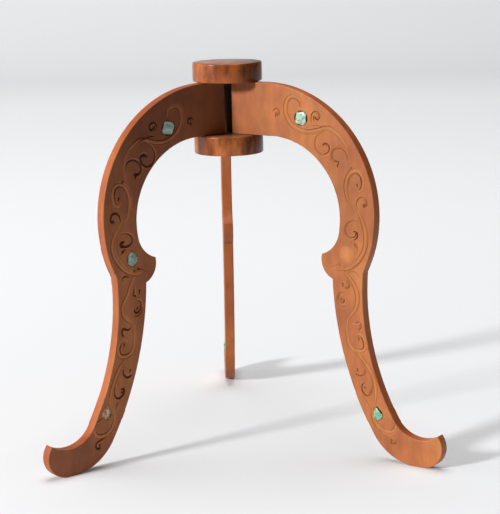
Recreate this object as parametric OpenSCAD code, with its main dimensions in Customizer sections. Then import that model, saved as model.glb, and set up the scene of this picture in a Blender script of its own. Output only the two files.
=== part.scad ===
// Folding tripod stand of carved hardwood.
// Three flat plank legs hang between two plain round discs. The left leg is glued in, and the right
// and the back leg swing on upright pins until they lie flat beside it. Every leg has the same
// outline, a C-shaped arch, a knee with a nub on its inner side and a swept shin that ends in a
// turned-up toe, and each face has seats for three domed stones.
// A leg's outline is drawn in its own plane: x runs outwards from the middle of the hub, y is height.

/* [Hub] */
// Diameter of the two discs
disc_d = 52; // [46:0.5:70]
// Thickness of each disc
disc_t = 14.2; // [11:0.1:20]
// Distance of each upright pin from the middle of the hub
pin_circle_r = 14; // [13.5:0.1:17]
// Diameter of the pins
pin_d = 4; // [2.5:0.1:5]
// Depth of the blind hole for a pin in each disc
pin_seat = 9; // [5:0.1:10]
// Clearance round a pin where it is glued
glue_clear = 0.02; // [0.01:0.005:0.05]
// Clearance round a pin where a leg turns on it
turn_clear = 0.05; // [0.02:0.005:0.1]
// Gap between a disc and the edge of a leg
swing_gap = 0.15; // [0.1:0.05:0.5]

/* [Leg] */
// Thickness of the plank
plank_t = 8; // [6:0.1:9]
// Height of a leg's end between the discs
leg_end_h = 39.3; // [32:0.1:44]
// Distance from the middle of the hub to a leg's inner end
leg_end_x = 5; // [4:0.1:7]
// Radius of the outer edge of the arch
arch_outer_r = 93.5; // [85:0.5:110]
// Distance of the outer arch's centre from the middle of the hub
arch_outer_x = 33.5; // [28:0.5:42]
// Radius of the inner edge of the arch
arch_inner_r = 57.4; // [50:0.2:60]
// Distance of the inner arch's centre from the middle of the hub
arch_inner_x = 40.5; // [34:0.5:44]
// Height of the outer arch's centre above the knee
knee_drop = 41.8; // [36:0.2:46]
// Width of the leg at the knee
knee_w = 26.1; // [22:0.1:32]
// Radius of the nub on the inner side of the knee
nub_r = 15.5; // [14:0.1:18]
// Distance of the nub's centre inwards from the outer corner of the knee
nub_inset = 19.8; // [18:0.1:22]
// Height of the nub's centre above the outer corner of the knee
nub_rise = 7.4; // [5:0.1:9]
// Where the nub's tip lies on its circle, from the outward direction
nub_tip_angle = 166; // [155:1:172]
// Slope of the nub's upper edge at its tip
nub_slope = 18; // [12:1:30]
// Radius of the hollow between the nub's tip and the arch
nub_fillet = 21; // [12:0.5:21.5]

/* [Shin and foot] */
// Height of the outer corner of the knee above the floor
shin_h = 139.8; // [120:0.2:165]
// Radius of the shin's outer edge
shin_outer_r = 182; // [165:1:220]
// How far below the knee the outer edge is upright
shin_outer_sag = 14.2; // [8:0.2:20]
// Radius of the shin's inner edge
shin_inner_r = 236; // [220:1:280]
// How far above the knee the inner edge would be upright
shin_inner_rise = 2.2; // [0:0.2:8]
// Radius of the foot's underside
foot_r = 41; // [36:0.5:48]
// Radius of the hollow on top of the foot
instep_r = 24.4; // [20:0.2:28]
// Height of the foot at its thinnest
instep_h = 20.6; // [17:0.2:24]
// Radius of the toe's round end
toe_r = 15.4; // [14:0.2:18]
// How far the toe's centre lies outside the foot's centre
toe_len = 5.6; // [3:0.2:9]
// Depth of the worn flat under each foot
sole_flat = 0.3; // [0.2:0.05:0.6]

/* [Stance] */
// How far each front leg stands turned towards the other
front_turn = 6; // [0:0.5:10]
// How much shorter the left leg was cut at its hub end
left_trim = 10; // [0:0.5:12]

/* [Stones] */
// Depth of a seat in the face of a leg
seat_depth = 1.8; // [1.2:0.1:2.4]
// How far the top of a stone stands above the face
stone_proud = 1.1; // [0.8:0.1:1.2]
// Radius of the dome on a stone
dome_r = 20; // [17:0.5:40]
// Clearance round a stone in its seat
stone_clear = 0.1; // [0.05:0.01:0.2]
// Radius of the round upper stone
upper_r = 5.6; // [4.5:0.1:6]
// Half width of the six-sided middle stone
middle_half_w = 4.2; // [3.4:0.1:5]
// Half length of the six-sided middle stone
middle_half_l = 6; // [5.2:0.1:6.4]
// Half length of the straight sides of the middle stone
middle_side = 2.8; // [2:0.1:3.4]
// Radius of the drop-shaped lower stone
lower_r = 4.1; // [3.4:0.1:4.6]
// Distance from the lower stone's round centre to its point
lower_point = 6.6; // [5.6:0.1:6.8]
// Lean of the lower stone's point towards the hub
lower_lean = 9; // [0:1:20]

/* [Hidden] */
$fn = 360;
quarter = 90;
leg_names = ["left", "right", "back"];
seat_names = ["upper", "middle", "lower"];
side_names = ["lh", "rh"];
left = 0;
right = 1;
back = 2;
// Direction of each pin from the middle of the hub, and of each leg from its pin
pin_angle = [210, 330, quarter];
leg_angle = [pin_angle[left] + front_turn, pin_angle[right] - front_turn, pin_angle[back]];
leg_trim = [left_trim, 0, 0];
// The left-hand face, seen looking outwards along a leg, and the right-hand face
side_sign = [1, -1];
// The leg that is glued in, beside which the others fold
fixed = left;
// Seats whose stone was lost
lost = [
  ["left", "lower", "lh"],
  ["right", "middle", "rh"],
  ["back", "middle", "lh"],
  ["back", "middle", "rh"],
  ["back", "lower", "rh"],
];

arch_outer_c = [arch_outer_x, shin_h + knee_drop];
leg_top = arch_outer_c.y + arch_outer_r;
leg_bottom = leg_top - leg_end_h;
arch_inner_c = [arch_inner_x, leg_bottom - arch_inner_r];
knee = [arch_outer_x + sqrt(pow(arch_outer_r, 2) - pow(knee_drop, 2)), shin_h];
nub_c = knee + [-nub_inset, nub_rise];
nub_tip = nub_c + nub_r * [cos(nub_tip_angle), sin(nub_tip_angle)];
shin_outer_c = knee + [sqrt(pow(shin_outer_r, 2) - pow(shin_outer_sag, 2)), -shin_outer_sag];
shin_inner_c = knee + [shin_inner_r - knee_w, shin_inner_rise];
// The foot's arcs touch the shin's arcs and each other without a corner
foot_z = foot_r - sole_flat;
foot_c = [tangent_x(shin_inner_c, shin_inner_r - foot_r, foot_z), foot_z];
instep_z = instep_h + instep_r;
instep_c = [tangent_x(shin_outer_c, shin_outer_r - instep_r, instep_z), instep_z];
toe_c = foot_c + [toe_len, -sqrt(pow(foot_r - toe_r, 2) - pow(toe_len, 2))];
toe_reach = toe_c.x + toe_r;
sheet = 2 * (shin_inner_r + shin_outer_r);
// Arcs that run into each other cross by a hair, and the pieces of the outline overlap by more
blend = 0.03;
lap = 6;

// Heights of the hub's pieces, and the hub's place: the origin is under the middle of the whole stand
disc_gap = leg_end_h + 2 * swing_gap;
lower_disc_z = leg_bottom - swing_gap - disc_t;
upper_disc_z = leg_top + swing_gap;
reach_x = [for (i = [left, right]) toe_far(i).x];
reach_y = [for (i = [left, right, back]) toe_far(i).y];
hub_at = -[reach_x[left] + reach_x[right], min(reach_y) + max(reach_y)] / 2;

// Stone seats of each leg: upper, middle and lower, cut by eye and so not quite alike
seats = [
  [[67.5, 245], [103.2, 152.3], [130.5, 40]],
  [[66, 250.3], [103.6, 152.3], [129, 34.6]],
  [[66, 249], [103.6, 152.3], [129.5, 36]],
];
// The outline's sizes that the seats were set out on
seat_knee = [117.14, 139.8];
seat_top = 275.1;
seat_toe = 181.4;

function stone_name(leg, seat, side) =
  str(leg_names[leg], "_", seat_names[seat], "_stone_", side_names[side]);
function is_lost(leg, seat, side) =
  len([for (s = lost) if (s == [leg_names[leg], seat_names[seat], side_names[side]]) s]) > 0;
function all_stones() = [for (leg = [0:2], side = [0:1], seat = [0:2]) if (!is_lost(leg, seat, side))
  stone_name(leg, seat, side)];

// x of a circle's centre that lies at height z, a given distance to the left of another centre
function tangent_x(from, distance, z) = from.x - sqrt(pow(distance, 2) - pow(from.y - z, 2));
function unit(v) = v / norm(v);
function polar(r, a) = r * [cos(a), sin(a)];
function pin_at(i) = polar(pin_circle_r, pin_angle[i]);
// How far the rim of the lower disc reaches along a folded leg, from its pin
function rim_reach(i) =
  let (along = polar(1, leg_angle[fixed]))
  let (side = abs(cross(along, pin_at(i))) - plank_t / 2)
  sqrt(pow(disc_d / 2, 2) - pow(side, 2)) - pin_at(i) * along + 2 * swing_gap;
// How far out the lower edge of a leg is level, to pass over that rim
function rub_to(i) = i == fixed ? arch_inner_x : max(arch_inner_x, pin_circle_r + leg_trim[i] + rim_reach(i));
// Furthest corner of a leg's toe, as the box round the stand sees it
function toe_far(i) =
  let (tip = pin_at(i) + polar(toe_reach - pin_circle_r - leg_trim[i], leg_angle[i]))
  let (half = plank_t / 2)
  [tip.x + sign(cos(leg_angle[i])) * half * abs(sin(leg_angle[i])),
   tip.y + sign(sin(leg_angle[i])) * half * abs(cos(leg_angle[i]))];
// A seat moves with the part of the leg that it is cut in
function seat_at(leg, seat) =
  seat == 0 ? seats[leg][0] + [0, leg_top - seat_top] :
  seat == 1 ? seats[leg][1] + knee - seat_knee :
  seats[leg][2] + [toe_reach - seat_toe, 0];

// Everything to the left of a line through p in the direction a
module half_plane(p, a) {
  translate(p) rotate(a) translate([-sheet, 0]) square([2 * sheet, sheet]);
}

module round_at(c, r) {
  translate(c) circle(r);
}

// Direction from p to q, as an angle
function heading(p, q) = atan2(q.y - p.y, q.x - p.x);

// Small corner of wood that rounds the nub's upper edge into the arch
module nub_fillet_corner() {
  along = polar(1, nub_slope);
  up = polar(1, nub_slope + quarter);
  rel = arch_inner_c - nub_tip;
  run = rel * along + sqrt(pow(arch_inner_r - nub_fillet, 2) - pow(nub_fillet - rel * up, 2));
  centre = nub_tip + run * along + nub_fillet * up;
  into_wood = 1.4 * nub_fillet;
  difference() {
    polygon([centre, centre - into_wood * up, centre + into_wood * unit(centre - arch_inner_c)]);
    round_at(centre, nub_fillet + blend);
  }
}

// The arch, from the hub's end down to the nub's upper edge. Its lower edge is shaved level as far as
// rub_x, where it passes over the rim of the lower disc when the leg folds, and eased into the arc there.
module arch_outline(end_x, rub_x) {
  rub = [rub_x, leg_bottom];
  ease_r = arch_inner_r - blend;
  ease = heading(arch_inner_c, rub) - acos(ease_r / norm(rub - arch_inner_c));
  translate([end_x, leg_bottom]) square([arch_outer_x - end_x, leg_end_h]);
  difference() {
    intersection() {
      round_at(arch_outer_c, arch_outer_r);
      half_plane(nub_tip, nub_slope);
      translate([arch_outer_x, nub_tip.y]) square(sheet);
    }
    round_at(arch_inner_c, arch_inner_r);
    translate([0, leg_bottom - sheet]) square([rub_x, sheet]);
    polygon([rub, arch_inner_c + polar(ease_r, ease), [rub_x, arch_inner_c.y]]);
  }
  nub_fillet_corner();
}

// The knee, with the nub on its inner side
module knee_outline() {
  difference() {
    union() {
      intersection() {
        round_at(arch_outer_c, arch_outer_r);
        round_at(shin_inner_c, shin_inner_r);
        half_plane(knee - [0, lap], 0);
      }
      round_at(nub_c, nub_r);
    }
    half_plane(nub_tip, nub_slope);
  }
}

// The shin and the foot: wood inside the inner arcs and outside the outer ones. The arcs of the shin
// end at the ankle, a line through the points where the foot's arcs touch them.
module shin_outline() {
  inner_end = shin_inner_c + shin_inner_r * unit(foot_c - shin_inner_c);
  outer_end = shin_outer_c + shin_outer_r * unit(instep_c - shin_outer_c);
  ankle = heading(inner_end, outer_end);
  difference() {
    union() {
      intersection() {
        round_at(shin_inner_c, shin_inner_r);
        translate([0, knee.y + lap - sheet]) square([shin_outer_c.x, sheet]);
        half_plane(inner_end, ankle);
      }
      difference() {
        round_at(foot_c, foot_r + blend);
        half_plane(inner_end + polar(lap, ankle + quarter), ankle);
        half_plane(foot_c, heading(foot_c, toe_c));
      }
      round_at(toe_c, toe_r + blend);
    }
    intersection() {
      round_at(shin_outer_c, shin_outer_r);
      half_plane(inner_end, ankle);
    }
    round_at(instep_c, instep_r + blend);
  }
}

module leg_outline(i) {
  intersection() {
    union() {
      arch_outline(leg_end_x + leg_trim[i], rub_to(i));
      knee_outline();
      shin_outline();
    }
    half_plane([0, 0], 0);
  }
}

// Plan of a stone, or with grow of the seat round it
module stone_plan(seat, grow = 0) {
  if (seat == 0) {
    circle(upper_r + grow);
  } else if (seat == 1) {
    w = middle_half_w + grow;
    l = middle_half_l + grow;
    s = middle_side + grow;
    polygon([[w, -s], [w, s], [0, l], [-w, s], [-w, -s], [0, -l]]);
  } else {
    r = lower_r + grow;
    point = lower_point + grow;
    rise = r * r / point;
    half = sqrt(r * r - rise * rise);
    rotate(lower_lean) {
      circle(r);
      polygon([[half, rise], [0, point], [-half, rise]]);
    }
  }
}

// Turns a leg's own plane upright and puts it on its pin
module on_leg(leg) {
  translate([hub_at.x, hub_at.y, 0]) translate(pin_at(leg)) rotate(leg_angle[leg])
    translate([-pin_circle_r - leg_trim[leg], 0, 0]) rotate([quarter, 0, 0]) children();
}

// Puts something that stands up from z = 0 on the floor of a seat
module in_seat(leg, seat, side) {
  at = seat_at(leg, seat);
  mirror([0, 0, side_sign[side] > 0 ? 1 : 0]) translate([at.x, at.y, plank_t / 2 - seat_depth]) children();
}

module upright_pin(i, d, from, length) {
  at = hub_at + pin_at(i);
  translate([at.x, at.y, from]) cylinder(d = d, h = length);
}

module leg(i, pin_clear) {
  on_leg(i) difference() {
    linear_extrude(height = plank_t, center = true) leg_outline(i);
    for (side = [0:1], seat = [0:2]) {
      in_seat(i, seat, side) linear_extrude(height = plank_t) stone_plan(seat, stone_clear);
    }
    translate([pin_circle_r + leg_trim[i], leg_bottom - disc_t, 0]) rotate([-quarter, 0, 0])
      cylinder(d = pin_d + 2 * pin_clear, h = leg_end_h + 2 * disc_t);
  }
}

module disc(z, hole_z) {
  difference() {
    translate([hub_at.x, hub_at.y, z]) cylinder(d = disc_d, h = disc_t);
    for (i = [left, right, back]) upright_pin(i, pin_d + 2 * glue_clear, hole_z, pin_seat + disc_t);
  }
}

module pin(i) {
  color([0.45, 0.43, 0.4]) upright_pin(i, pin_d, lower_disc_z + disc_t - pin_seat, disc_gap + 2 * pin_seat);
}

module stone(leg, seat, side) {
  tall = seat_depth + stone_proud;
  color([0.55, 0.8, 0.72]) on_leg(leg) in_seat(leg, seat, side) intersection() {
    linear_extrude(height = tall) stone_plan(seat);
    translate([0, 0, tall - dome_r]) sphere(dome_r);
  }
}

module top_disc() {
  color([0.55, 0.29, 0.17]) disc(upper_disc_z, upper_disc_z - disc_t);
}

module bottom_disc() {
  color([0.55, 0.29, 0.17]) disc(lower_disc_z, lower_disc_z + disc_t - pin_seat);
}

module left_leg() {
  color([0.66, 0.36, 0.22]) leg(left, glue_clear);
}

module right_leg() {
  color([0.68, 0.38, 0.23]) leg(right, turn_clear);
}

module back_leg() {
  color([0.62, 0.34, 0.21]) leg(back, turn_clear);
}

module left_pin() {
  pin(left);
}

module right_pivot_pin() {
  pin(right);
}

module back_pivot_pin() {
  pin(back);
}

top_disc();
bottom_disc();
left_leg();
right_leg();
back_leg();
left_pin();
right_pivot_pin();
back_pivot_pin();
for (leg = [0:2], side = [0:1], seat = [0:2]) {
  if (!is_lost(leg, seat, side)) {
    stone(leg, seat, side);
  }
}
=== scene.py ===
# %% [markdown]
# # A folding tripod stand, carved and set with stones
# The real object is a small stand: three flat wooden legs hang between two plain discs, and two
# of them swing on hidden pins until they lie beside the third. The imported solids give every
# piece its true outline and place. This lesson adds what the solids leave out: the scroll cut into
# both faces of each leg, softened edges, uneven turquoise, the empty seats, and the finishes.

# %% Load the solids
import math
import random

import bmesh
import bpy
from mathutils import Matrix, Vector, noise


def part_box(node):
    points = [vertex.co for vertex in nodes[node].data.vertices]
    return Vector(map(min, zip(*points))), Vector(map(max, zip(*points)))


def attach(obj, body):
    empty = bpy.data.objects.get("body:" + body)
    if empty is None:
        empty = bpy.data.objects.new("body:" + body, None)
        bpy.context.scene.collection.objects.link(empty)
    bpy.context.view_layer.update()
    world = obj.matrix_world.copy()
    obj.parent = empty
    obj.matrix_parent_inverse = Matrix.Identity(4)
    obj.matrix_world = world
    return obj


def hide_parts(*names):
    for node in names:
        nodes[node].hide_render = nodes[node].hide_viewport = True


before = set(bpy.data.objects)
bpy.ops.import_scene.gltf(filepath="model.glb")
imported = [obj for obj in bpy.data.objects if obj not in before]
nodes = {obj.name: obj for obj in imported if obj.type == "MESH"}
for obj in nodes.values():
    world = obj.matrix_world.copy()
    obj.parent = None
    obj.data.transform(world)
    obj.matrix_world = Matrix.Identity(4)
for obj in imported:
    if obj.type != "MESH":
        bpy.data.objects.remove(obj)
scene = bpy.context.scene
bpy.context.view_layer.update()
MM = 0.001

# %% [markdown]
# ## Camera
# The stand was seen from the front, a little above the discs, with a long lens. The camera could be
# aimed with a constraint, but three plain turns say it more clearly: right, down, and a slight tilt.

# %% Camera
camera_at = Vector((-35.2, -1234.8, 387.2)) * MM
turn_right, look_down, tilt = 2.166, 11.66, -1.216
camera = bpy.data.objects.new("camera", bpy.data.cameras.new("camera"))
camera.data.lens = 111.8
camera.matrix_world = (
    Matrix.Translation(camera_at)
    @ Matrix.Rotation(math.radians(-turn_right), 4, "Z")
    @ Matrix.Rotation(math.radians(90 - look_down), 4, "X")
    @ Matrix.Rotation(math.radians(tilt), 4, "Z")
)
scene.collection.objects.link(camera)
scene.camera = camera
print("camera at", [round(v, 3) for v in camera_at])

# %% [markdown]
# ## Small helpers
# A new piece is a bmesh that becomes an object at the origin, so that patterns on its object
# coordinates stay put. Materials are built from a few node helpers that keep the wiring readable.

# %% Helpers for pieces


def finished(bm, name, body, replaces=(), sharp=None):
    """Turns a bmesh into a smooth piece that rides on a body, with creases at bends over an angle."""
    mesh = bpy.data.meshes.new(name)
    bm.to_mesh(mesh)
    bm.free()
    for polygon in mesh.polygons:
        polygon.use_smooth = True
    if sharp:
        mesh.set_sharp_from_angle(angle=math.radians(sharp))
    piece = bpy.data.objects.new(name, mesh)
    scene.collection.objects.link(piece)
    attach(piece, body)
    if replaces:
        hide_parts(*replaces)
    return piece


def solid_copy(node):
    """A bmesh of a CAD node with its loose triangles joined up."""
    bm = bmesh.new()
    bm.from_mesh(nodes[node].data)
    bmesh.ops.remove_doubles(bm, verts=bm.verts, dist=1e-6)
    return bm


# %% Helpers for materials


def new_material(name):
    material = bpy.data.materials.new(name)
    material.use_nodes = True
    tree = material.node_tree
    return material, tree, tree.nodes["Principled BSDF"]


def add_node(tree, kind, **settings):
    node = tree.nodes.new(kind)
    for key, value in settings.items():
        if key in node.inputs:
            node.inputs[key].default_value = value
        else:
            setattr(node, key, value)
    return node


def object_space(tree, scale=(1, 1, 1)):
    """Object coordinates, stretched or squeezed along each axis."""
    where = add_node(tree, "ShaderNodeTexCoord")
    mapping = add_node(tree, "ShaderNodeMapping", Scale=scale)
    tree.links.new(where.outputs["Object"], mapping.inputs["Vector"])
    return mapping.outputs["Vector"]


def noise_at(tree, place, scale, detail=3.0, rough=0.5):
    """Noise from 0 to 1, with its scale in lumps a metre."""
    texture = add_node(tree, "ShaderNodeTexNoise", Scale=scale, Detail=detail, Roughness=rough)
    tree.links.new(place, texture.inputs["Vector"])
    return texture.outputs["Fac"]


def ramp(tree, value, stops):
    """A colour ramp from (place, colour) stops."""
    band = add_node(tree, "ShaderNodeValToRGB")
    elements = band.color_ramp.elements
    while len(elements) < len(stops):
        elements.new(0.5)
    for element, (place, colour) in zip(elements, stops):
        element.position = place
        element.color = (*colour, 1)
    tree.links.new(value, band.inputs["Fac"])
    return band.outputs["Color"]


def mix(tree, factor, a, b, blend="MIX"):
    node = add_node(tree, "ShaderNodeMix", data_type="RGBA", blend_type=blend)
    for socket, value in zip((node.inputs[0], node.inputs[6], node.inputs[7]), (factor, a, b)):
        if isinstance(value, bpy.types.NodeSocket):
            tree.links.new(value, socket)
        elif isinstance(value, tuple):
            socket.default_value = (*value, 1)
        else:
            socket.default_value = value
    return node.outputs[2]


def bump(tree, shader, height, strength, distance):
    node = add_node(tree, "ShaderNodeBump", Strength=strength, Distance=distance)
    tree.links.new(height, node.inputs["Height"])
    tree.links.new(node.outputs["Normal"], shader.inputs["Normal"])


def linear(red, green, blue):
    """An 8-bit colour as Blender's linear one."""
    return tuple(((c / 255 + 0.055) / 1.055) ** 2.4 for c in (red, green, blue))


# %% [markdown]
# ## Where a leg's plane lies
# Each leg is a flat board that stands upright on its pin. It is easiest to carve it lying in its own
# plane, where x runs outwards from the hub, y is height and z points out of the right-hand face, and
# then to stand it up. The pins' places come from the solids; the directions are those of the stance.

# %% Leg planes
leg_names = ("left", "right", "back")
leg_heading = {"left": 216, "right": 324, "back": 90}
pin_node = {"left": "left_pin", "right": "right_pivot_pin", "back": "back_pivot_pin"}
leg_body = {"left": "hub", "right": "right_leg", "back": "back_leg"}
pin_from_hub = 14
left_trim = 10
plank_half = 4


def centre_of(node):
    low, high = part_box(node)
    return (low + high) / 2


def leg_matrix(leg):
    """From a leg's own plane, in millimetres, to the stand."""
    pin = centre_of(pin_node[leg])
    outwards = math.radians(leg_heading[leg])
    shift = pin_from_hub + (left_trim if leg == "left" else 0)
    return (
        Matrix.Translation((pin.x, pin.y, 0))
        @ Matrix.Rotation(outwards, 4, "Z")
        @ Matrix.Rotation(math.radians(90), 4, "X")
        @ Matrix.Scale(MM, 4)
        @ Matrix.Translation((-shift, 0, 0))
    )


def seat_centre(leg, seat):
    """Middle of a stone seat in the leg's plane, read from a stone that is still there."""
    for side in ("rh", "lh"):
        stone = f"{leg}_{seat}_stone_{side}"
        if stone in nodes:
            return leg_matrix(leg).inverted() @ centre_of(stone)
    return seat_centre("right", seat)


for leg in leg_names:
    print(leg, "upper seat at", [round(v, 1) for v in seat_centre(leg, "upper")])

# %% [markdown]
# ## Wood
# The boards are a close-grained reddish wood with a satin finish. Faint streaks along the grain, slow
# drifts between orange and red-brown, small uneven patches and fine pores give it its look. Handling
# has rubbed the flanks of the cuts pale, and their bottoms are painted darker as shade: so in the cuts
# the colour follows the depth under the board's face. The ends by the hub are dark end grain, made
# near-black as painted shade for the gap between the boards, and the sawn edges are redder. The left
# leg is painted darker towards the hub, as shade from the discs and the other legs. The discs are
# browner, shinier and more mottled. One side of each is darker, partly wood and partly painted shade,
# and the upper faces are duller and paler, partly dust and partly a painted sheen. Everything is mixed
# on object coordinates, so no picture is needed.

# %% Wood


def wood(name, dark, middle, pale, stretch, gloss, level=None, sheen=0.2, stain_and_shade=(), along_axis="Z",
         figure=0.1):
    """Wood whose colour runs from dark to pale, by slow noise or by a given level from 0 to 1.

    The stain and shade give its tone at a few places along an axis, in metres; it serves both for real stains
    and for shade painted into the colour. The figure is how much lighter and darker the wood is in patches of
    a few millimetres.
    """
    material, tree, shader = new_material(name)
    along = object_space(tree, scale=stretch)
    if level:
        base = ramp(tree, level(tree), [(0.04, dark), (0.2, middle), (0.42, pale)])
    else:
        drift = noise_at(tree, object_space(tree), 16, 4)
        base = ramp(tree, drift, [(0.34, dark), (0.5, middle), (0.66, pale)])
    streaks = noise_at(tree, along, 60, 5, 0.6)
    grain = ramp(tree, streaks, [(0.3, (0.84,) * 3), (0.7, (1, 1, 1))])
    colour = mix(tree, 1.0, base, grain, "MULTIPLY")
    patches = noise_at(tree, object_space(tree, scale=(1, 1, 0.35)), 170, 5, 0.6)
    figured = ramp(tree, patches, [(0.36, (1 - figure,) * 3), (0.64, (1 + figure,) * 3)])
    colour = mix(tree, 1.0, colour, figured, "MULTIPLY")
    # A tone along one axis, used both for real stains and for painted shade
    if stain_and_shade:
        place = add_node(tree, "ShaderNodeSeparateXYZ")
        tree.links.new(object_space(tree), place.inputs[0])
        stained_and_shaded = ramp(tree, place.outputs[along_axis], [(at, (tone,) * 3) for at, tone in stain_and_shade])
        colour = mix(tree, 1.0, colour, stained_and_shaded, "MULTIPLY")
    tree.links.new(colour, shader.inputs["Base Color"])
    pores = noise_at(tree, along, 420, 3, 0.6)
    shine = ramp(tree, pores, [(0.3, (gloss + 0.06,) * 3), (0.7, (gloss - 0.03,) * 3)])
    tree.links.new(shine, shader.inputs["Roughness"])
    shader.inputs["Specular IOR Level"].default_value = sheen
    bump(tree, shader, pores, 0.06, 0.0003)
    return material


# %% Depth in a cut
# How deep under a leg's face the painted shade in the cuts begins, in millimetres
cut_shade_depth = {"left": 0.55, "right": 0.8, "back": 0.8}


def height_in_cut(leg):
    """A level that rises from 0 deep in a leg's cuts to 1 at its faces."""
    stand_up = leg_matrix(leg)
    across = (stand_up.to_3x3() @ Vector((0, 0, 1))).normalized()
    mid_plane = stand_up.translation.dot(across)

    def level(tree):
        where = add_node(tree, "ShaderNodeTexCoord")
        along = add_node(tree, "ShaderNodeVectorMath", operation="DOT_PRODUCT")
        along.inputs[1].default_value = across
        tree.links.new(where.outputs["Object"], along.inputs[0])
        off_middle = add_node(tree, "ShaderNodeMath", operation="SUBTRACT")
        off_middle.inputs[1].default_value = mid_plane
        tree.links.new(along.outputs["Value"], off_middle.inputs[0])
        either_side = add_node(tree, "ShaderNodeMath", operation="ABSOLUTE")
        tree.links.new(off_middle.outputs[0], either_side.inputs[0])
        depth = add_node(tree, "ShaderNodeMapRange")
        depth.inputs["From Min"].default_value = (plank_half - cut_shade_depth[leg]) * MM
        depth.inputs["From Max"].default_value = plank_half * MM
        tree.links.new(either_side.outputs[0], depth.inputs["Value"])
        return depth.outputs["Result"]

    return level


# %% Woods of the stand
grain_up = (1, 1, 0.12)
grain_across = (0.12, 1, 1)


def tinted(colour, gains):
    return tuple(gain * c for gain, c in zip(gains, colour))


def board_wood(leg, dark, middle, pale, rub, edge, cut_shade, stain_and_shade=()):
    """A board's wood, the wood in its cuts from painted shade at their bottom to rubbed flanks, its end grain
    darkened further as painted shade, and its sawn edges.
    """
    # The bottoms of the cuts are painted darker, as shade
    cut_shade_colour = tinted(dark, (cut_shade,) * 3)
    # The end grain is darker wood, and its near-black is painted shade for the gap between the boards
    end_grain_and_shade = tinted(dark, (0.1,) * 3)
    sawn = [tinted(colour, edge) for colour in (dark, middle, pale)]
    return (
        wood(f"{leg}_leg_wood", dark, middle, pale, grain_up, 0.42, stain_and_shade=stain_and_shade),
        wood(f"{leg}_leg_cuts", cut_shade_colour, middle, tinted(middle, rub), grain_up, 0.5, height_in_cut(leg),
             stain_and_shade=stain_and_shade),
        wood(f"{leg}_leg_end_grain", end_grain_and_shade, end_grain_and_shade, dark, grain_up, 0.6),
        wood(f"{leg}_leg_edges", *sawn, grain_up, 0.42),
    )


# Painted shade: the left leg darkens towards the hub, where the discs and the other legs keep light off it
left_hub_painted_shade = [(0.15, 1), (0.2, 0.74), (0.26, 0.54)]
right_stain = [(0.1, 0.98), (0.15, 0.89), (0.2, 0.8), (0.25, 0.96)]
leg_wood = {
    "left": board_wood("left", linear(158, 90, 58), linear(174, 102, 62), linear(188, 116, 68),
                       (1.5, 1.65, 1.6), (0.84, 0.7, 0.6), 0.55, left_hub_painted_shade),
    "right": board_wood("right", linear(159, 91, 57), linear(176, 104, 60), linear(189, 118, 66),
                        (1.06, 1.18, 1.06), (1.05, 0.86, 0.72), 0.7, right_stain),
    "back": board_wood("back", linear(150, 82, 46), linear(168, 94, 52), linear(182, 106, 58),
                       (1.2, 1.4, 1.2), (1, 0.97, 0.92), 0.4),
}
# The discs darken towards +x, the side away from the key lamp: partly darker wood, partly painted shade
dark_wood_and_shade_side = [(0, 1), (0.014, 0.5)]
disc_wood = wood("disc_wood", linear(118, 57, 24), linear(152, 79, 34), linear(174, 101, 48),
                 grain_across, 0.22, sheen=0.3, stain_and_shade=dark_wood_and_shade_side, along_axis="X", figure=0.42)
# Upward disc faces are paler and greyer: partly dust, partly a painted sheen of the pale backdrop
disc_top_dust_and_sheen = wood("disc_top_dust_and_sheen", linear(122, 80, 56), linear(148, 102, 76), linear(168, 122, 94),
                      grain_across, 0.3, sheen=0.4, stain_and_shade=dark_wood_and_shade_side, along_axis="X", figure=0.3)
print("woods:", ", ".join(m.name for kinds in leg_wood.values() for m in kinds), "and the discs'")

# %% [markdown]
# ## The scroll
# A vine runs down each face in S-curves, with curls on both sides of it. It was cut with a V-tool:
# one steep wall, one long slope. A bump map would vanish at the edges of the light, so the cuts are
# real: each stroke is a smooth curve with a V-shaped cross-section, and the strokes are taken out of
# the board. Stems are drawn through a few points; a curl is a spiral that closes by a fixed ratio.
# The points are millimetres in the plane of the right leg.

# %% Strokes of the scroll


def curl(eye, start, turn, radius, end_radius, count=9):
    """Points of a spiral round an eye, from a start angle through a turn in degrees."""
    points = []
    for i in range(count):
        t = i / (count - 1)
        angle = math.radians(start + turn * t)
        r = radius * (end_radius / radius) ** t
        points.append((eye[0] + r * math.cos(angle), eye[1] + r * math.sin(angle)))
    return points


stems = [
    [(65.8, 258.5), (65.5, 262), (61, 265.5), (55.8, 264.3), (53, 258), (53.8, 251.5), (58, 245.5),
     (64, 242), (72, 240.5), (80, 242), (88, 244), (95, 241.5), (101, 236), (105.3, 228), (106.5, 217)],
    [(111, 201.5), (114.5, 199.5), (117.3, 203), (117.6, 208.5), (115, 213), (110.5, 214), (106.3, 211),
     (103.7, 204.5), (104, 197), (106, 191.5), (108.6, 187.8)],
    [(112, 188), (114.5, 183), (117.5, 177), (119.3, 171), (119.8, 165), (118.8, 158), (116, 152),
     (112, 147), (107, 143), (101, 141), (95.5, 141)],
    [(101.5, 139), (106, 135), (110.5, 129), (112.5, 121), (111, 113), (105, 105.3)],
    [(104, 104), (103.4, 97), (104.2, 90), (106.3, 84), (109.5, 81.3), (113.5, 80.6), (117.3, 81.8),
     (118.8, 85.5), (118, 89.5), (115.8, 92.6), (112.6, 93.4), (109.8, 91.8)],
    [(112.5, 78.8), (116, 75.4), (121, 70), (124.6, 64), (126.8, 57.5), (127.3, 50), (126.8, 43)],
    [(124.4, 40), (124.8, 33), (127, 28.5), (131, 24.6), (136.5, 22.8), (141, 23.4), (143.2, 26.4),
     (143.4, 29.6)],
]
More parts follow.
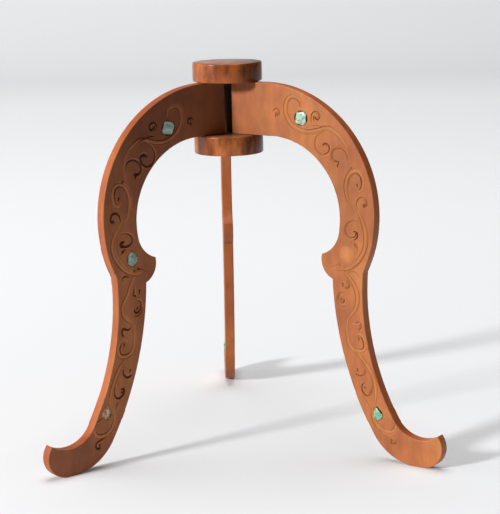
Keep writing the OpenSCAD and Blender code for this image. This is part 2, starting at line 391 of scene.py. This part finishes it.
curls = [
    [(41, 253), (43.5, 256), (47, 255.6), (47.4, 252.6), (45.6, 251)],
    [(75, 247.5), (74.6, 252), (77, 255.6), (80.8, 255.2), (82, 251.6), (79.6, 249.6), (78, 251.6)],
    curl((86, 230.4), 85, 400, 12, 2),
    curl((96.8, 223.6), -5, 300, 8.2, 3.4),
    [(112, 188), (112.2, 191.8), (114.8, 195), (118.2, 195.4), (120.7, 192.6), (120, 189.2),
     (117.4, 188.8)],
    curl((108.8, 169.4), 62, 320, 9.4, 2.4),
    [(103.4, 133.4), (105.8, 130.6), (105, 127.6), (102.6, 127)],
    [(102, 123.6), (98.4, 123.2), (96.4, 120), (97.4, 116.6), (100.4, 116.2), (101, 119)],
    [(106, 103.4), (110, 101.6), (113.8, 103), (115.4, 99.8), (113.6, 96.6)],
    [(116.6, 69.6), (118.8, 67), (117.4, 63.6), (114, 62), (110.6, 63)],
    [(124, 64.6), (124.8, 56), (123.6, 51), (120.4, 47.6), (117, 49.2), (115.4, 53), (116.4, 56.4),
     (119.2, 56.4)],
    [(133, 21.8), (138, 20.8), (142.8, 19.6), (144.2, 16.8), (142.6, 14.2), (139.8, 14.8)],
]
leaves = [
    [(74, 245.2), (80, 245.8), (88, 244.2), (93, 242)],
    [(106.2, 161), (109.4, 162), (112.4, 159.4), (112.8, 155)],
    [(90.5, 141.5), (96, 144.2), (102, 143.8)],
    [(104, 138.2), (108, 140.4), (112.2, 139.6), (114, 136)],
    [(94.4, 121), (95.4, 115.6), (99, 112.4), (104, 112.6)],
    [(133.4, 35.8), (138, 34.4), (142, 31.2)],
    [(117.6, 46), (121, 42.4), (122.4, 37)],
]
commas = [
    [(44.6, 253.4), (43.8, 250)],
    [(77, 252.4), (77, 249)],
    [(84.4, 231.4), (86.2, 232.6), (88, 231)],
    [(94.6, 220.6), (96.8, 219.8), (96.4, 216.2)],
    [(107.6, 216.6), (109.2, 214.8)],
    [(112.4, 205), (113.4, 202.8)],
    [(118.4, 191), (118.6, 188)],
    [(109.4, 170), (112.2, 169.2), (112, 165.4), (110, 163.6)],
    [(110.4, 160.8), (111.2, 158)],
    [(98, 145.4), (98.2, 143.2)],
    [(101.4, 143.8), (102, 142.2)],
    [(100, 131), (100.4, 128)],
    [(98.4, 119.4), (99.4, 117.8)],
    [(113, 91.2), (113.6, 88.8)],
    [(111.8, 67.6), (112.6, 65)],
    [(117.4, 54.6), (118.8, 52.8)],
    [(140, 17.6), (141, 15.8)],
]
# The carver set the left leg out by eye again: height on the right leg, then how far the left differs
left_drift = [
    (10, -3, 1), (17, -3, 1), (28, -2, 2), (42, 0.5, 3.5), (55, -1.5, 0), (66, -4, 3), (80, -1, 0),
    (95, 0, -1), (105, -1, -1), (118, 1.5, -4), (130, -3, -2.6), (139, 0, 0), (156, 0, 0), (172, 0, -4.6),
    (190, 0, -8), (206, 0, -6), (223, 1, -6), (232, 3, -5.5), (250, 2.5, -5.3), (262, 1.5, -5.3),
]
# How much broader the curls, leaves and commas were cut on each leg
boldness = {"left": 1.45, "right": 1, "back": 1}
print("strokes:", len(stems), "stems,", len(curls), "curls,", len(leaves), "leaves,", len(commas), "commas")

# %% [markdown]
# ### Cutters
# A curve with a closed profile swept along it makes a solid cutter, and the radius of each point
# thins the stroke out at its ends, as the tool does when it leaves the wood. A curl has one steep wall
# and one long slope. The stem's profile leaves a rounded cord between a deep groove and a shallow one,
# so one sweep models the vine. The eye of a curl is stabbed in with an even, deep V.

# %% Cutters
v_cut = [(-0.24, 0.4), (-0.24, 0.03), (0, -0.64), (1.1, 0.03), (1.1, 0.4)]
eye_cut = [(-0.6, 0.4), (-0.6, 0.03), (0, -0.85), (0.6, 0.03), (0.6, 0.4)]
double_cut = [
    (-1.62, 0.4), (-1.62, 0.03), (-1.38, -0.72), (-0.75, -0.24), (0, -0.08), (0.7, -0.14),
    (1.3, -0.45), (1.9, 0.03), (1.9, 0.4),
]


def profile_object(name, outline):
    data = bpy.data.curves.new(name, "CURVE")
    data.dimensions = "2D"
    data.fill_mode = "NONE"
    spline = data.splines.new("POLY")
    spline.points.add(len(outline) - 1)
    for point, (across, out) in zip(spline.points, outline):
        point.co = (across, out, 0, 1)
    spline.use_cyclic_u = True
    return bpy.data.objects.new(name, data)


def stroke_solid(points, profile, size, thin_start, thin_end, swell, steps=5):
    """A bmesh of one cutter in the plane of a leg, with its V pointing into the right-hand face."""
    data = bpy.data.curves.new("stroke", "CURVE")
    data.dimensions = "2D"
    data.fill_mode = "NONE"
    data.bevel_mode = "OBJECT"
    data.bevel_object = profile
    data.use_fill_caps = True
    data.resolution_u = steps
    spline = data.splines.new("BEZIER")
    spline.bezier_points.add(len(points) - 1)
    last = len(points) - 1
    for i, (handle, place) in enumerate(zip(spline.bezier_points, points)):
        handle.co = (*place, 0)
        handle.handle_left_type = handle.handle_right_type = "AUTO"
        along = i / last
        taper = min(1, thin_start + 2.5 * along, thin_end + 2.5 * (1 - along))
        handle.radius = size * taper * (1 + swell * along)
    holder = bpy.data.objects.new("stroke", data)
    scene.collection.objects.link(holder)
    evaluated = holder.evaluated_get(bpy.context.evaluated_depsgraph_get())
    mesh = bpy.data.meshes.new_from_object(evaluated)
    bm = bmesh.new()
    bm.from_mesh(mesh)
    bmesh.ops.remove_doubles(bm, verts=bm.verts, dist=1e-4)
    bmesh.ops.recalc_face_normals(bm, faces=bm.faces)
    bmesh.ops.translate(bm, verts=bm.verts, vec=(0, 0, plank_half))
    bpy.data.objects.remove(holder)
    bpy.data.curves.remove(data)
    bpy.data.meshes.remove(mesh)
    return bm


v_profile = profile_object("v_profile", v_cut)
eye_profile = profile_object("eye_profile", eye_cut)
double_profile = profile_object("double_profile", double_cut)
profiles = (v_profile, eye_profile, double_profile)
# Strokes, profile, size, how thin the start and the end are, and how much a stroke swells
kinds = (
    (stems, double_profile, 1.2, 0.4, 0.35, 0),
    (curls, v_profile, 1.15, 0.4, 0.7, 0.4),
    (leaves, v_profile, 1.05, 0.3, 0.3, 0),
    (commas, eye_profile, 1.5, 0.8, 0.5, 0),
)
for profile in profiles:
    scene.collection.objects.link(profile)
bpy.context.view_layer.update()
print("profiles:", len(profiles))

# %% [markdown]
# ### Carving the boards
# The left leg was set out afresh, so its strokes drift from the right leg's. Both faces carry the same
# drawing, the left-hand one as its mirror image. The board is a copy of the solid with its long edges
# eased first. The strokes are taken out one after another, and the cut faces keep a material of their
# own. The flat face is kept flat in the shading, with a crease where a cut or the eased edge begins.

# %% Where a stroke lies


def drifted(points, leg):
    """A stroke as it lies on this leg."""
    if leg != "left":
        return points
    placed = []
    for x, y in points:
        below, above = left_drift[0], left_drift[-1]
        for low, high in zip(left_drift, left_drift[1:]):
            if low[0] <= y <= high[0]:
                below, above = low, high
        t = min(1, max(0, (y - below[0]) / (above[0] - below[0])))
        placed.append((
            x + below[1] + t * (above[1] - below[1]),
            y + below[2] + t * (above[2] - below[2]),
        ))
    return placed


def both_faces(bm):
    """Adds the mirror image on the other face."""
    made = bmesh.ops.duplicate(bm, geom=bm.verts[:] + bm.edges[:] + bm.faces[:])["geom"]
    copies = [g for g in made if isinstance(g, bmesh.types.BMVert)]
    faces = [g for g in made if isinstance(g, bmesh.types.BMFace)]
    bmesh.ops.scale(bm, verts=copies, vec=(1, 1, -1))
    bmesh.ops.reverse_faces(bm, faces=faces)


# %% Plain board
# Millimetres, and square millimetres for the least area of a board's face
eased_edge = 0.6
room_round_seat = 8.5
least_face = 1000


def near_seat(edge, leg):
    middle = (edge.verts[0].co + edge.verts[1].co) / 2
    for seat in ("upper", "middle", "lower"):
        at = seat_centre(leg, seat)
        if math.hypot(middle.x - at.x, middle.y - at.y) < room_round_seat:
            return True
    return False


def plain_board(leg):
    """The leg in its own plane, in millimetres, with its long edges eased."""
    bm = solid_copy(f"{leg}_leg")
    bmesh.ops.transform(bm, matrix=leg_matrix(leg).inverted(), verts=bm.verts)
    bmesh.ops.dissolve_limit(bm, angle_limit=math.radians(0.5), verts=bm.verts, edges=bm.edges)
    rim = []
    for edge in bm.edges:
        if len(edge.link_faces) != 2 or edge.calc_face_angle(0) < math.radians(60):
            continue
        on_face = all(abs(abs(v.co.z) - plank_half) < 0.01 for v in edge.verts)
        flat = [f for f in edge.link_faces if abs(f.normal.z) > 0.99]
        if on_face and flat and flat[0].calc_area() > least_face and not near_seat(edge, leg):
            rim.append(edge)
    bmesh.ops.bevel(bm, geom=rim, offset=eased_edge, affect="EDGES", segments=4, profile=0.5, material=-1)
    return bm


# %% Taking a stroke out
# The order of a board's materials
face_wood, cut_wood, end_grain_and_shade_slot, edge_wood = range(4)


def cut_out(board, cutter_bm):
    """Takes a cutter out of the board object."""
    cutter_mesh = bpy.data.meshes.new("cutter")
    cutter_bm.to_mesh(cutter_mesh)
    cutter_bm.free()
    cutter = bpy.data.objects.new("cutter", cutter_mesh)
    scene.collection.objects.link(cutter)
    for slot in board.data.materials:
        cutter_mesh.materials.append(slot)
    for polygon in cutter_mesh.polygons:
        polygon.material_index = cut_wood
    cut = board.modifiers.new("cut", "BOOLEAN")
    cut.operation = "DIFFERENCE"
    cut.solver = "MANIFOLD"
    cut.material_mode = "INDEX"
    cut.object = cutter
    evaluated = board.evaluated_get(bpy.context.evaluated_depsgraph_get())
    carved = bpy.data.meshes.new_from_object(evaluated)
    board.modifiers.clear()
    before = board.data
    board.data = carved
    bpy.data.meshes.remove(before)
    bpy.data.objects.remove(cutter)
    bpy.data.meshes.remove(cutter_mesh)


# %% Carve
end_reach = 5


def crease(bm):
    """Keeps flat faces flat: a crease wherever one meets anything else, and at every sharp bend."""
    def flat(face):
        return abs(face.normal.z) > 0.999 or abs(face.normal.z) < 0.001

    for face in bm.faces:
        face.smooth = True
    for edge in bm.edges:
        kinds_met = {flat(f) for f in edge.link_faces}
        edge.smooth = len(kinds_met) == 1 and edge.calc_face_angle(0) < math.radians(30)


def carved_leg(leg):
    mesh = bpy.data.meshes.new(f"{leg}_board")
    bm = plain_board(leg)
    bm.to_mesh(mesh)
    bm.free()
    for material in leg_wood[leg]:
        mesh.materials.append(material)
    board = bpy.data.objects.new(f"{leg}_board", mesh)
    scene.collection.objects.link(board)
    for strokes, profile, size, *ends in kinds:
        broad = 1 if strokes is stems else boldness[leg]
        for points in strokes:
            cutter = stroke_solid(drifted(points, leg), profile, size * broad, *ends)
            both_faces(cutter)
            cut_out(board, cutter)
    bm = bmesh.new()
    bm.from_mesh(board.data)
    bpy.data.objects.remove(board)
    bmesh.ops.remove_doubles(bm, verts=bm.verts, dist=1e-4)
    bm.normal_update()
    crease(bm)
    hub_end = min(v.co.x for v in bm.verts)
    # The hub ends take the dark end grain with its painted shade; other plain side faces take the sawn-edge
    # wood
    for face in bm.faces:
        if face.normal.x < -0.5 and face.calc_center_median().x < hub_end + end_reach:
            face.material_index = end_grain_and_shade_slot
        elif face.material_index == face_wood and abs(face.normal.z) < 0.5:
            face.material_index = edge_wood
    bmesh.ops.transform(bm, matrix=leg_matrix(leg), verts=bm.verts)
    return bm


for leg in leg_names:
    bm = carved_leg(leg)
    cuts, ends = (sum(1 for f in bm.faces if f.material_index == kind) for kind in (cut_wood, end_grain_and_shade_slot))
    print(leg, "leg:", len(bm.verts), "vertices,", len(bm.faces), "faces,", cuts, "cut,", ends, "end grain")
    piece = finished(bm, f"{leg}_carved_leg", leg_body[leg], [f"{leg}_leg"])
    for material in leg_wood[leg]:
        piece.data.materials.append(material)
for profile in profiles:
    bpy.data.objects.remove(profile)

# %% [markdown]
# ## Discs
# The discs were turned, with their edges just eased. A copy of each solid gets a small bevel on its
# rims; the flat faces and the blind holes stay as they are. The faces that look up get a duller, paler
# wood: partly dust, partly a painted sheen.

# %% Discs
disc_edge = 0.9 * MM
near_rim = 0.2 * MM


def turned_disc(node):
    bm = solid_copy(node)
    bmesh.ops.dissolve_limit(bm, angle_limit=math.radians(0.5), verts=bm.verts, edges=bm.edges)
    middle = centre_of(node)
    rim_radius = (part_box(node)[1].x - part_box(node)[0].x) / 2
    rims = []
    for edge in bm.edges:
        out = min(math.hypot(v.co.x - middle.x, v.co.y - middle.y) for v in edge.verts)
        if out > rim_radius - near_rim and edge.calc_face_angle(0) > math.radians(60):
            rims.append(edge)
    bmesh.ops.bevel(bm, geom=rims, offset=disc_edge, affect="EDGES", segments=4, profile=0.5, material=-1)
    return bm


for node in ("top_disc", "bottom_disc"):
    disc = finished(turned_disc(node), f"turned_{node}", "hub", [node], sharp=24)
    for material in (disc_wood, disc_top_dust_and_sheen):
        disc.data.materials.append(material)
    # Upward faces take the paler wood with its dust and painted sheen
    for polygon in disc.data.polygons:
        polygon.material_index = 1 if polygon.normal.z > 0.9 else 0
    print(node, "faces:", len(disc.data.polygons), "middle", [round(v, 4) for v in centre_of(node)])

# %% [markdown]
# ## Stones
# Each stone is a bit of turquoise, ground to a dome by hand: pale green-blue, clouded, with dark flecks
# of its mother rock. A copy of the solid loses a few flat chips round its rim, so that no two stones are
# alike, and is then rubbed smooth. Both only take away, so every stone still fits its seat.

# %% Turquoise


def turquoise(name, pale, middle, deep):
    material, tree, shader = new_material(name)
    place = object_space(tree)
    clouds = noise_at(tree, place, 260, 4, 0.6)
    colour = ramp(tree, clouds, [(0.34, deep), (0.5, middle), (0.66, pale)])
    flecks = noise_at(tree, place, 620, 2, 0.5)
    mask = ramp(tree, flecks, [(0.6, (0, 0, 0)), (0.68, (1, 1, 1))])
    tree.links.new(mix(tree, mask, colour, linear(70, 84, 70)), shader.inputs["Base Color"])
    shader.inputs["Roughness"].default_value = 0.38
    bump(tree, shader, clouds, 0.25, 0.0006)
    return material


# %% Stones
rubs = 5


def chipped(node):
    """A bmesh of a stone with flat chips taken off its rim."""
    bm = solid_copy(node)
    rng = random.Random(node)
    low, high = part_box(node)
    middle = (low + high) / 2
    leg = node.split("_")[0]
    outwards = leg_matrix(leg).to_3x3() @ Vector((0, 0, 1 if node.endswith("rh") else -1))
    outwards.normalize()
    up = Vector((0, 0, 1))
    aside = outwards.cross(up)
    squared = "_upper_" in node
    count = 4 if squared else 5
    start = rng.uniform(0, 25)
    uneven = 9 if squared else 15
    for k in range(count):
        angle = math.radians(start + 360 / count * k + rng.uniform(-uneven, uneven))
        sideways = aside * math.cos(angle) + up * math.sin(angle)
        normal = (sideways + outwards * rng.uniform(0, 0.3)).normalized()
        reach = max((v.co - middle).dot(normal) for v in bm.verts)
        chip = rng.uniform(0.9, 1.3) if squared else rng.uniform(0.3, 0.8)
        at = middle + normal * (reach - chip * MM)
        everything = bm.verts[:] + bm.edges[:] + bm.faces[:]
        bmesh.ops.bisect_plane(bm, geom=everything, plane_co=at, plane_no=normal, clear_outer=True)
        open_edges = [e for e in bm.edges if e.is_boundary]
        bmesh.ops.holes_fill(bm, edges=open_edges, sides=0)
    bmesh.ops.triangulate(bm, faces=bm.faces)
    bmesh.ops.subdivide_edges(bm, edges=bm.edges, cuts=1, use_grid_fill=True)
    for _ in range(rubs):
        bmesh.ops.smooth_vert(bm, verts=bm.verts, factor=0.5,
                              use_axis_x=True, use_axis_y=True, use_axis_z=True)
    bmesh.ops.recalc_face_normals(bm, faces=bm.faces)
    return bm


pale_stone = turquoise("pale_turquoise",
                       linear(188, 208, 190), linear(152, 180, 158), linear(110, 140, 118))
green_stone = turquoise("green_turquoise",
                        linear(160, 200, 168), linear(124, 170, 136), linear(86, 128, 98))
stone_nodes = [name for name in nodes if "_stone_" in name]
for name in stone_nodes:
    leg = name.split("_")[0]
    stone = finished(chipped(name), f"{name}_ground", leg_body[leg], [name], sharp=50)
    stone.data.materials.append(green_stone if "_lower_" in name else pale_stone)
print("stones:", len(stone_nodes))

# %% [markdown]
# ## Empty seats
# Some stones have fallen out. The seat on the right knee shows a smooth pale smear of the old bedding,
# wiped out over the wood, and the others hold crumbs of it. A flattened ball, pushed about by noise,
# serves for both. The smear's colour fades into the wood with the distance from the seat.

# %% Old bedding


def bedding(name, colours, rough):
    material, tree, shader = new_material(name)
    specks = noise_at(tree, object_space(tree), 520, 4, 0.65)
    tree.links.new(ramp(tree, specks, [(0.34, colours[0]), (0.5, colours[1]), (0.64, colours[2])]),
                   shader.inputs["Base Color"])
    shader.inputs["Roughness"].default_value = rough
    bump(tree, shader, specks, 0.4, 0.0008)
    return material


def wiped(name, leg, seat, colour, into):
    """Bedding that is pale in a right-hand seat and fades into the wood around it."""
    material, tree, shader = new_material(name)
    at = seat_centre(leg, seat)
    where = add_node(tree, "ShaderNodeTexCoord")
    away = add_node(tree, "ShaderNodeVectorMath", operation="DISTANCE")
    away.inputs[1].default_value = leg_matrix(leg) @ Vector((at.x, at.y, plank_half))
    tree.links.new(where.outputs["Object"], away.inputs[0])
    uneven = add_node(tree, "ShaderNodeMath", operation="MULTIPLY_ADD")
    uneven.inputs[1].default_value = 5 * MM
    tree.links.new(noise_at(tree, object_space(tree), 300), uneven.inputs[0])
    tree.links.new(away.outputs["Value"], uneven.inputs[2])
    fade = add_node(tree, "ShaderNodeMapRange")
    fade.inputs["From Min"].default_value = 4.5 * MM
    fade.inputs["From Max"].default_value = 8.5 * MM
    tree.links.new(uneven.outputs[0], fade.inputs["Value"])
    tree.links.new(mix(tree, fade.outputs["Result"], colour, into), shader.inputs["Base Color"])
    shader.inputs["Roughness"].default_value = 0.45
    shader.inputs["Specular IOR Level"].default_value = 0.3
    return material


# %% Empty seats


def seat_filling(leg, seat, side, half_w, half_h, depth, top, rough):
    """A lump of bedding in a seat, from a depth under the face to a height over it, in millimetres."""
    at = seat_centre(leg, seat)
    sign = 1 if side == "rh" else -1
    bm = bmesh.new()
    bmesh.ops.create_icosphere(bm, subdivisions=4, radius=1)
    for vert in bm.verts:
        lump = noise.noise(vert.co * 2.4 + Vector((at.x, at.y, sign)))
        vert.co *= 1 + rough * lump
    half_t = (depth + top) / 2
    bmesh.ops.scale(bm, vec=(half_w, half_h, half_t), verts=bm.verts)
    bmesh.ops.translate(bm, vec=(at.x, at.y, sign * (plank_half + top - half_t)), verts=bm.verts)
    bmesh.ops.transform(bm, matrix=leg_matrix(leg), verts=bm.verts)
    return finished(bm, f"{leg}_{seat}_bedding_{side}", leg_body[leg])


crumbs = bedding("crumbs", [linear(150, 90, 52), linear(206, 158, 112), linear(248, 234, 212)], 0.85)
smear = wiped("smear", "right", "middle", linear(186, 115, 60), linear(168, 98, 56))
# Leg, seat, side, half width, half height, depth, top, roughness and material
fillings = [
    ("right", "middle", "rh", 10, 10.5, 1.6, 0.2, 0.04, smear),
    ("left", "lower", "lh", 4.4, 6.2, 1.7, -0.2, 0.5, crumbs),
    ("back", "middle", "lh", 4.0, 5.4, 1.7, -0.5, 0.3, crumbs),
    ("back", "middle", "rh", 4.0, 5.4, 1.7, -0.5, 0.3, crumbs),
    ("back", "lower", "rh", 3.9, 5.2, 1.7, -0.5, 0.3, crumbs),
]
for *filling, material in fillings:
    seat_filling(*filling).data.materials.append(material)
print("empty seats:", len(fillings))

# %% [markdown]
# ## Pins
# The pins are plain steel rod, seen only inside the gap between the boards.

# %% Pins
pin_steel, tree, shader = new_material("pin_steel")
shader.inputs["Metallic"].default_value = 1
shader.inputs["Base Color"].default_value = (0.42, 0.4, 0.38, 1)
scratches = noise_at(tree, object_space(tree, scale=(1, 1, 0.05)), 900, 2)
tree.links.new(ramp(tree, scratches, [(0.3, (0.3,) * 3), (0.7, (0.5,) * 3)]), shader.inputs["Roughness"])
for node in pin_node.values():
    nodes[node].data.materials.clear()
    nodes[node].data.materials.append(pin_steel)
print("pins:", ", ".join(pin_node.values()))

# %% [markdown]
# ## Floor and light
# The stand was photographed on a pale sweep of paper. One lamp, far off and low on the left, throws the
# long shadows; a broad panel beside it gives the turned discs their sheen; a large soft lamp overhead
# lights the paper; the rest of the room is dim. To the eye, and in reflections, the paper also glows a
# little more the further back it lies, which keeps the backdrop pale without a second row of lamps.

# %% Paper
paper_in_light = (0.68, 0.72, 0.79)
paper_to_the_eye = (0.715, 0.72, 0.73)
paper, tree, shader = new_material("paper")
path = add_node(tree, "ShaderNodeLightPath")
seen = add_node(tree, "ShaderNodeMath", operation="MULTIPLY_ADD")
tree.links.new(path.outputs["Is Glossy Ray"], seen.inputs[0])
seen.inputs[1].default_value = 0.4
tree.links.new(path.outputs["Is Camera Ray"], seen.inputs[2])
white = mix(tree, seen.outputs[0], paper_in_light, paper_to_the_eye)
tree.links.new(white, shader.inputs["Base Color"])
shader.inputs["Roughness"].default_value = 0.9
shader.inputs["Specular IOR Level"].default_value = 0.1
away = add_node(tree, "ShaderNodeVectorMath", operation="LENGTH")
tree.links.new(object_space(tree), away.inputs[0])
haze = add_node(tree, "ShaderNodeMapRange")
haze.inputs["From Max"].default_value = 2.4
haze.inputs["To Min"].default_value = 0.04
haze.inputs["To Max"].default_value = 0.39
tree.links.new(away.outputs["Value"], haze.inputs["Value"])
glow = add_node(tree, "ShaderNodeMath", operation="MULTIPLY")
tree.links.new(haze.outputs["Result"], glow.inputs[0])
tree.links.new(seen.outputs[0], glow.inputs[1])
shader.inputs["Emission Color"].default_value = (0.97, 0.99, 1, 1)
tree.links.new(glow.outputs[0], shader.inputs["Emission Strength"])
print("paper:", paper.name)

# %% Sweep
sweep_half_width = 6
sweep_back = 3
sweep_bend = 1.5
bm = bmesh.new()
bmesh.ops.create_grid(bm, x_segments=1, y_segments=1, size=sweep_half_width)
bmesh.ops.translate(bm, vec=(0, sweep_back - sweep_half_width, 0), verts=bm.verts)
back_edge = [e for e in bm.edges if all(v.co.y > sweep_back - 0.1 for v in e.verts)]
bmesh.ops.spin(bm, geom=back_edge + [v for e in back_edge for v in e.verts], cent=(0, sweep_back, sweep_bend),
               axis=(1, 0, 0), angle=math.radians(90), steps=24)
mesh = bpy.data.meshes.new("sweep")
bm.to_mesh(mesh)
bm.free()
for polygon in mesh.polygons:
    polygon.use_smooth = True
sweep = bpy.data.objects.new("sweep", mesh)
sweep.data.materials.append(paper)
scene.collection.objects.link(sweep)
print("sweep faces:", len(mesh.polygons))

# %% Lamps


def lamp(name, heading, height, distance, size, energy, aim=(0, -0.04, 0.15)):
    """A round soft lamp at a heading and a height, in degrees, from what it is aimed at.

    Its distance and size are in metres, its energy in watts.
    """
    light = bpy.data.lights.new(name, "AREA")
    light.shape = "DISK"
    light.size = size
    light.energy = energy
    level = math.cos(math.radians(height))
    towards = Vector((level * math.cos(math.radians(heading)), level * math.sin(math.radians(heading)),
                      math.sin(math.radians(height))))
    holder = bpy.data.objects.new(name, light)
    holder.location = Vector(aim) + towards * distance
    holder.rotation_euler = towards.to_track_quat("Z", "Y").to_euler()
    holder.visible_camera = False
    scene.collection.objects.link(holder)
    print(name, "lamp at", [round(v, 2) for v in holder.location])


lamp("key", 211.5, 20, 6, 0.96, 400)
lamp("panel", 172, 18, 3.6, 3, 32)
lamp("overhead", 90, 88, 2.4, 2.2, 46, aim=(0, 0.2, 0))

# %% Room
room = bpy.data.worlds.new("room")
room.use_nodes = True
tree = room.node_tree
sky = tree.nodes["Background"]
sky.inputs["Color"].default_value = (0.95, 0.97, 1, 1)
brightness = add_node(tree, "ShaderNodeMapRange")
brightness.inputs["To Min"].default_value = 0.03
brightness.inputs["To Max"].default_value = 0.78
tree.links.new(add_node(tree, "ShaderNodeLightPath").outputs["Is Camera Ray"], brightness.inputs["Value"])
tree.links.new(brightness.outputs["Result"], sky.inputs["Strength"])
scene.world = room
scene.view_settings.view_transform = "Standard"
print("room:", room.name)
